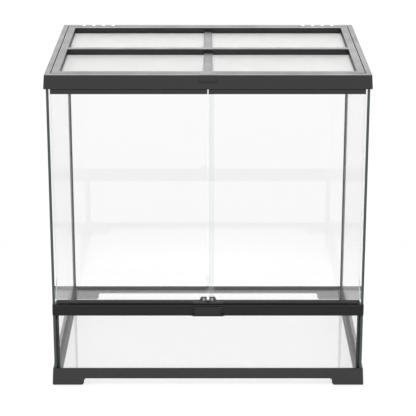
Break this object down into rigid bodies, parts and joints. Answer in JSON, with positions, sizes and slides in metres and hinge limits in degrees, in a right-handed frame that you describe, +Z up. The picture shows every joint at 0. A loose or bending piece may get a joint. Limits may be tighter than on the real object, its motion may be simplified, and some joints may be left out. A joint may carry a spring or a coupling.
{
  "type": "small animal cage",
  "caption": "Front-opening glass cage for a small animal, with a moulded base and top frame, two swing doors over a sill, a flip latch and a lift-off screen lid.",
  "frame": {"origin": "centre of the whole cage's footprint, latch included, on the surface its feet stand on", "axes": "+X to the right as seen from the front, +Y from the front to the back, +Z up"},
  "size_m": [0.6, 0.454, 0.612],
  "materials": {
    "charcoal_moulding": "satin, fine moulded grain",
    "clear_glass": "clear float glass",
    "black_silicone": "tooled silicone bead",
    "woven_wire": "fine woven wire",
    "steel": "bright",
    "black_nylon": "moulded",
    "grey_catch": "satin",
    "clear_seal": "clear extrusion"
  },
  "bodies": {
    "cage": {"base_frame": "charcoal_moulding", "floor_pane": "clear_glass", "left_side_pane": "clear_glass", "right_side_pane": "clear_glass", "back_pane": "clear_glass", "lower_front_pane": "clear_glass", "floor_seal": "black_silicone", "rear_corner_seals": "black_silicone", "front_corner_seals": "black_silicone", "sill_rail": "charcoal_moulding", "left_sill_cap": "charcoal_moulding", "right_sill_cap": "charcoal_moulding", "top_frame": "charcoal_moulding", "latch_pin": "steel"},
    "left_door": {"left_door_pane": "clear_glass", "left_upper_door_rail": "charcoal_moulding", "left_lower_door_rail": "charcoal_moulding", "left_hinge_pins": "steel", "left_hinge_washers": "black_nylon", "left_door_catch": "grey_catch", "left_catch_screw": "steel"},
    "right_door": {"right_door_pane": "clear_glass", "right_upper_door_rail": "charcoal_moulding", "right_lower_door_rail": "charcoal_moulding", "right_hinge_pins": "steel", "right_hinge_washers": "black_nylon", "right_door_catch": "grey_catch", "right_catch_screw": "steel", "right_door_edge_seal": "clear_seal"},
    "lid": {"lid_frame": "charcoal_moulding", "screen_mesh": "woven_wire", "mesh_clamp": "charcoal_moulding", "lid_tab": "charcoal_moulding"},
    "latch": {"latch_flap": "charcoal_moulding"},
    "left_gate": {"left_cable_gate": "charcoal_moulding"},
    "right_gate": {"right_cable_gate": "charcoal_moulding"}
  },
  "joints": [
    {"name": "left_door_swing", "type": "hinge", "parent": "cage", "child": "left_door", "pos_m": [-0.28, -0.214, 0.3756], "axis": [0, 0, -1], "range_deg": [0, 110]},
    {"name": "right_door_swing", "type": "hinge", "parent": "cage", "child": "right_door", "pos_m": [0.28, -0.214, 0.3756], "axis": [0, 0, 1], "range_deg": [0, 110]},
    {"name": "latch_flip", "type": "hinge", "parent": "cage", "child": "latch", "pos_m": [0, -0.2247, 0.161], "axis": [-1, 0, 0], "range_deg": [0, 180]},
    {"name": "lid_lift", "type": "slide", "parent": "cage", "child": "lid", "axis": [0, 0, 1], "range_m": [0, 0.12]},
    {"name": "left_gate_slide", "type": "slide", "parent": "cage", "child": "left_gate", "axis": [1, 0, 0], "range_m": [0, 0.01]},
    {"name": "right_gate_slide", "type": "slide", "parent": "cage", "child": "right_gate", "axis": [-1, 0, 0], "range_m": [0, 0.01]}
  ]
}
